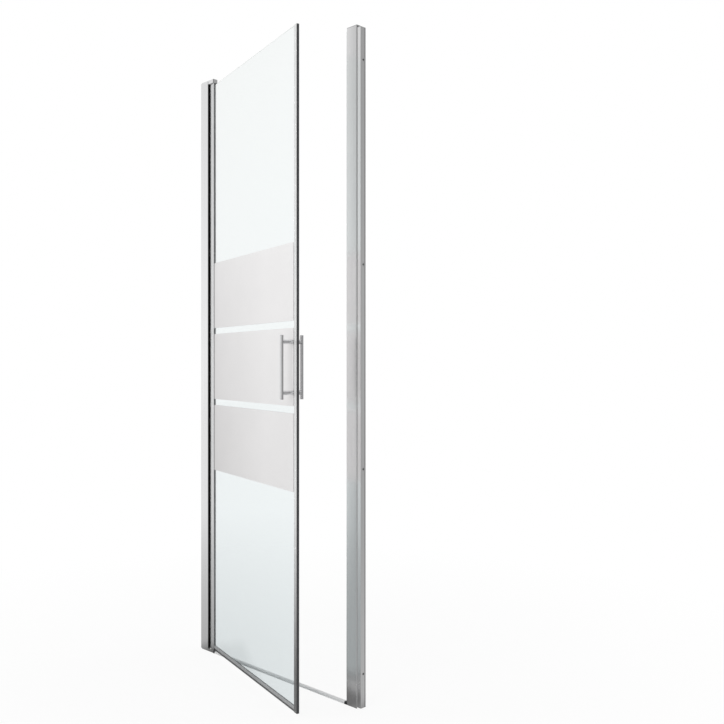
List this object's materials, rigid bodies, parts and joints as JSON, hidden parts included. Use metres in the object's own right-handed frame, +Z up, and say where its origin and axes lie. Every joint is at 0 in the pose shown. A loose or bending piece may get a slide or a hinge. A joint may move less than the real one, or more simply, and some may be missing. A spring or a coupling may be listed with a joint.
{
  "type": "pivot shower door",
  "caption": "Pivot shower door with two slim bright jambs, a low threshold and a glass leaf with frosted bands and a bar handle, standing slightly open.",
  "frame": {"origin": "on the threshold's underside, at its mid depth and at the middle of the frame's width", "axes": "+X from the hinge side to the strike side, +Y into the shower, +Z up; the leaf opens towards -Y"},
  "size_m": [0.78, 0.2243, 1.9548],
  "materials": {
    "polished_aluminium": "polished, bright silver",
    "anodised_channel": "satin anodised",
    "chrome_handle": "mirror chrome",
    "stainless_screws": "plain stainless",
    "chrome_plastic_cap": "metallised, bright",
    "chrome_bracket": "chromed casting",
    "black_rubber": "matt",
    "clear_seal": "milky clear, soft",
    "magnet_strip": "satin",
    "white_nylon": "natural",
    "black_plastic": "moulded",
    "toughened_glass": "clear with three frosted bands",
    "grey_gasket": "matt"
  },
  "bodies": {
    "hinge_wall_channel": {"hinge_channel": "anodised_channel"},
    "frame": {"hinge_jamb": "polished_aluminium", "strike_jamb": "polished_aluminium", "strike_jamb_cap": "chrome_plastic_cap", "hinge_clamp_screws": "stainless_screws", "strike_clamp_screws": "stainless_screws", "hinge_screw_covers": "chrome_plastic_cap", "strike_screw_covers": "chrome_plastic_cap", "threshold_bar": "polished_aluminium", "threshold_plugs": "black_plastic", "top_pivot_bracket": "chrome_bracket", "bottom_pivot_bracket": "chrome_bracket", "top_bracket_screws": "stainless_screws", "bottom_bracket_screws": "stainless_screws", "top_bush": "white_nylon", "bottom_bush": "white_nylon", "hinge_wiper": "black_rubber", "strike_seal": "clear_seal", "strike_magnet": "magnet_strip"},
    "strike_wall_channel": {"strike_channel": "anodised_channel"},
    "leaf": {"pivot_profile": "polished_aluminium", "profile_top_cap": "chrome_plastic_cap", "profile_bottom_cap": "chrome_plastic_cap", "top_pin": "stainless_screws", "bottom_pin": "stainless_screws", "pin_grub_screws": "stainless_screws", "thrust_washer": "white_nylon", "glass_panel": "toughened_glass", "glazing_gasket": "grey_gasket", "edge_seal": "clear_seal", "edge_magnet": "magnet_strip", "drip_seal": "clear_seal", "outer_handle_bar": "chrome_handle", "inner_handle_bar": "chrome_handle", "outer_handle_posts": "chrome_handle", "inner_handle_posts": "chrome_handle", "handle_rail": "chrome_handle", "handle_studs": "stainless_screws", "glass_hole_bushes": "white_nylon", "outer_post_washers": "white_nylon", "post_grub_screws": "stainless_screws"}
  },
  "joints": [
    {"name": "hinge_side_adjust", "type": "slide", "parent": "hinge_wall_channel", "child": "frame", "axis": [1, 0, 0], "range_m": [-0.0025, 0.0195]},
    {"name": "strike_side_adjust", "type": "slide", "parent": "frame", "child": "strike_wall_channel", "axis": [1, 0, 0], "range_m": [-0.015, 0.007]},
    {"name": "leaf_pivot", "type": "hinge", "parent": "frame", "child": "leaf", "pos_m": [-0.339, 0.004, 0], "axis": [0, 0, -1], "range_deg": [-15, 75]}
  ]
}
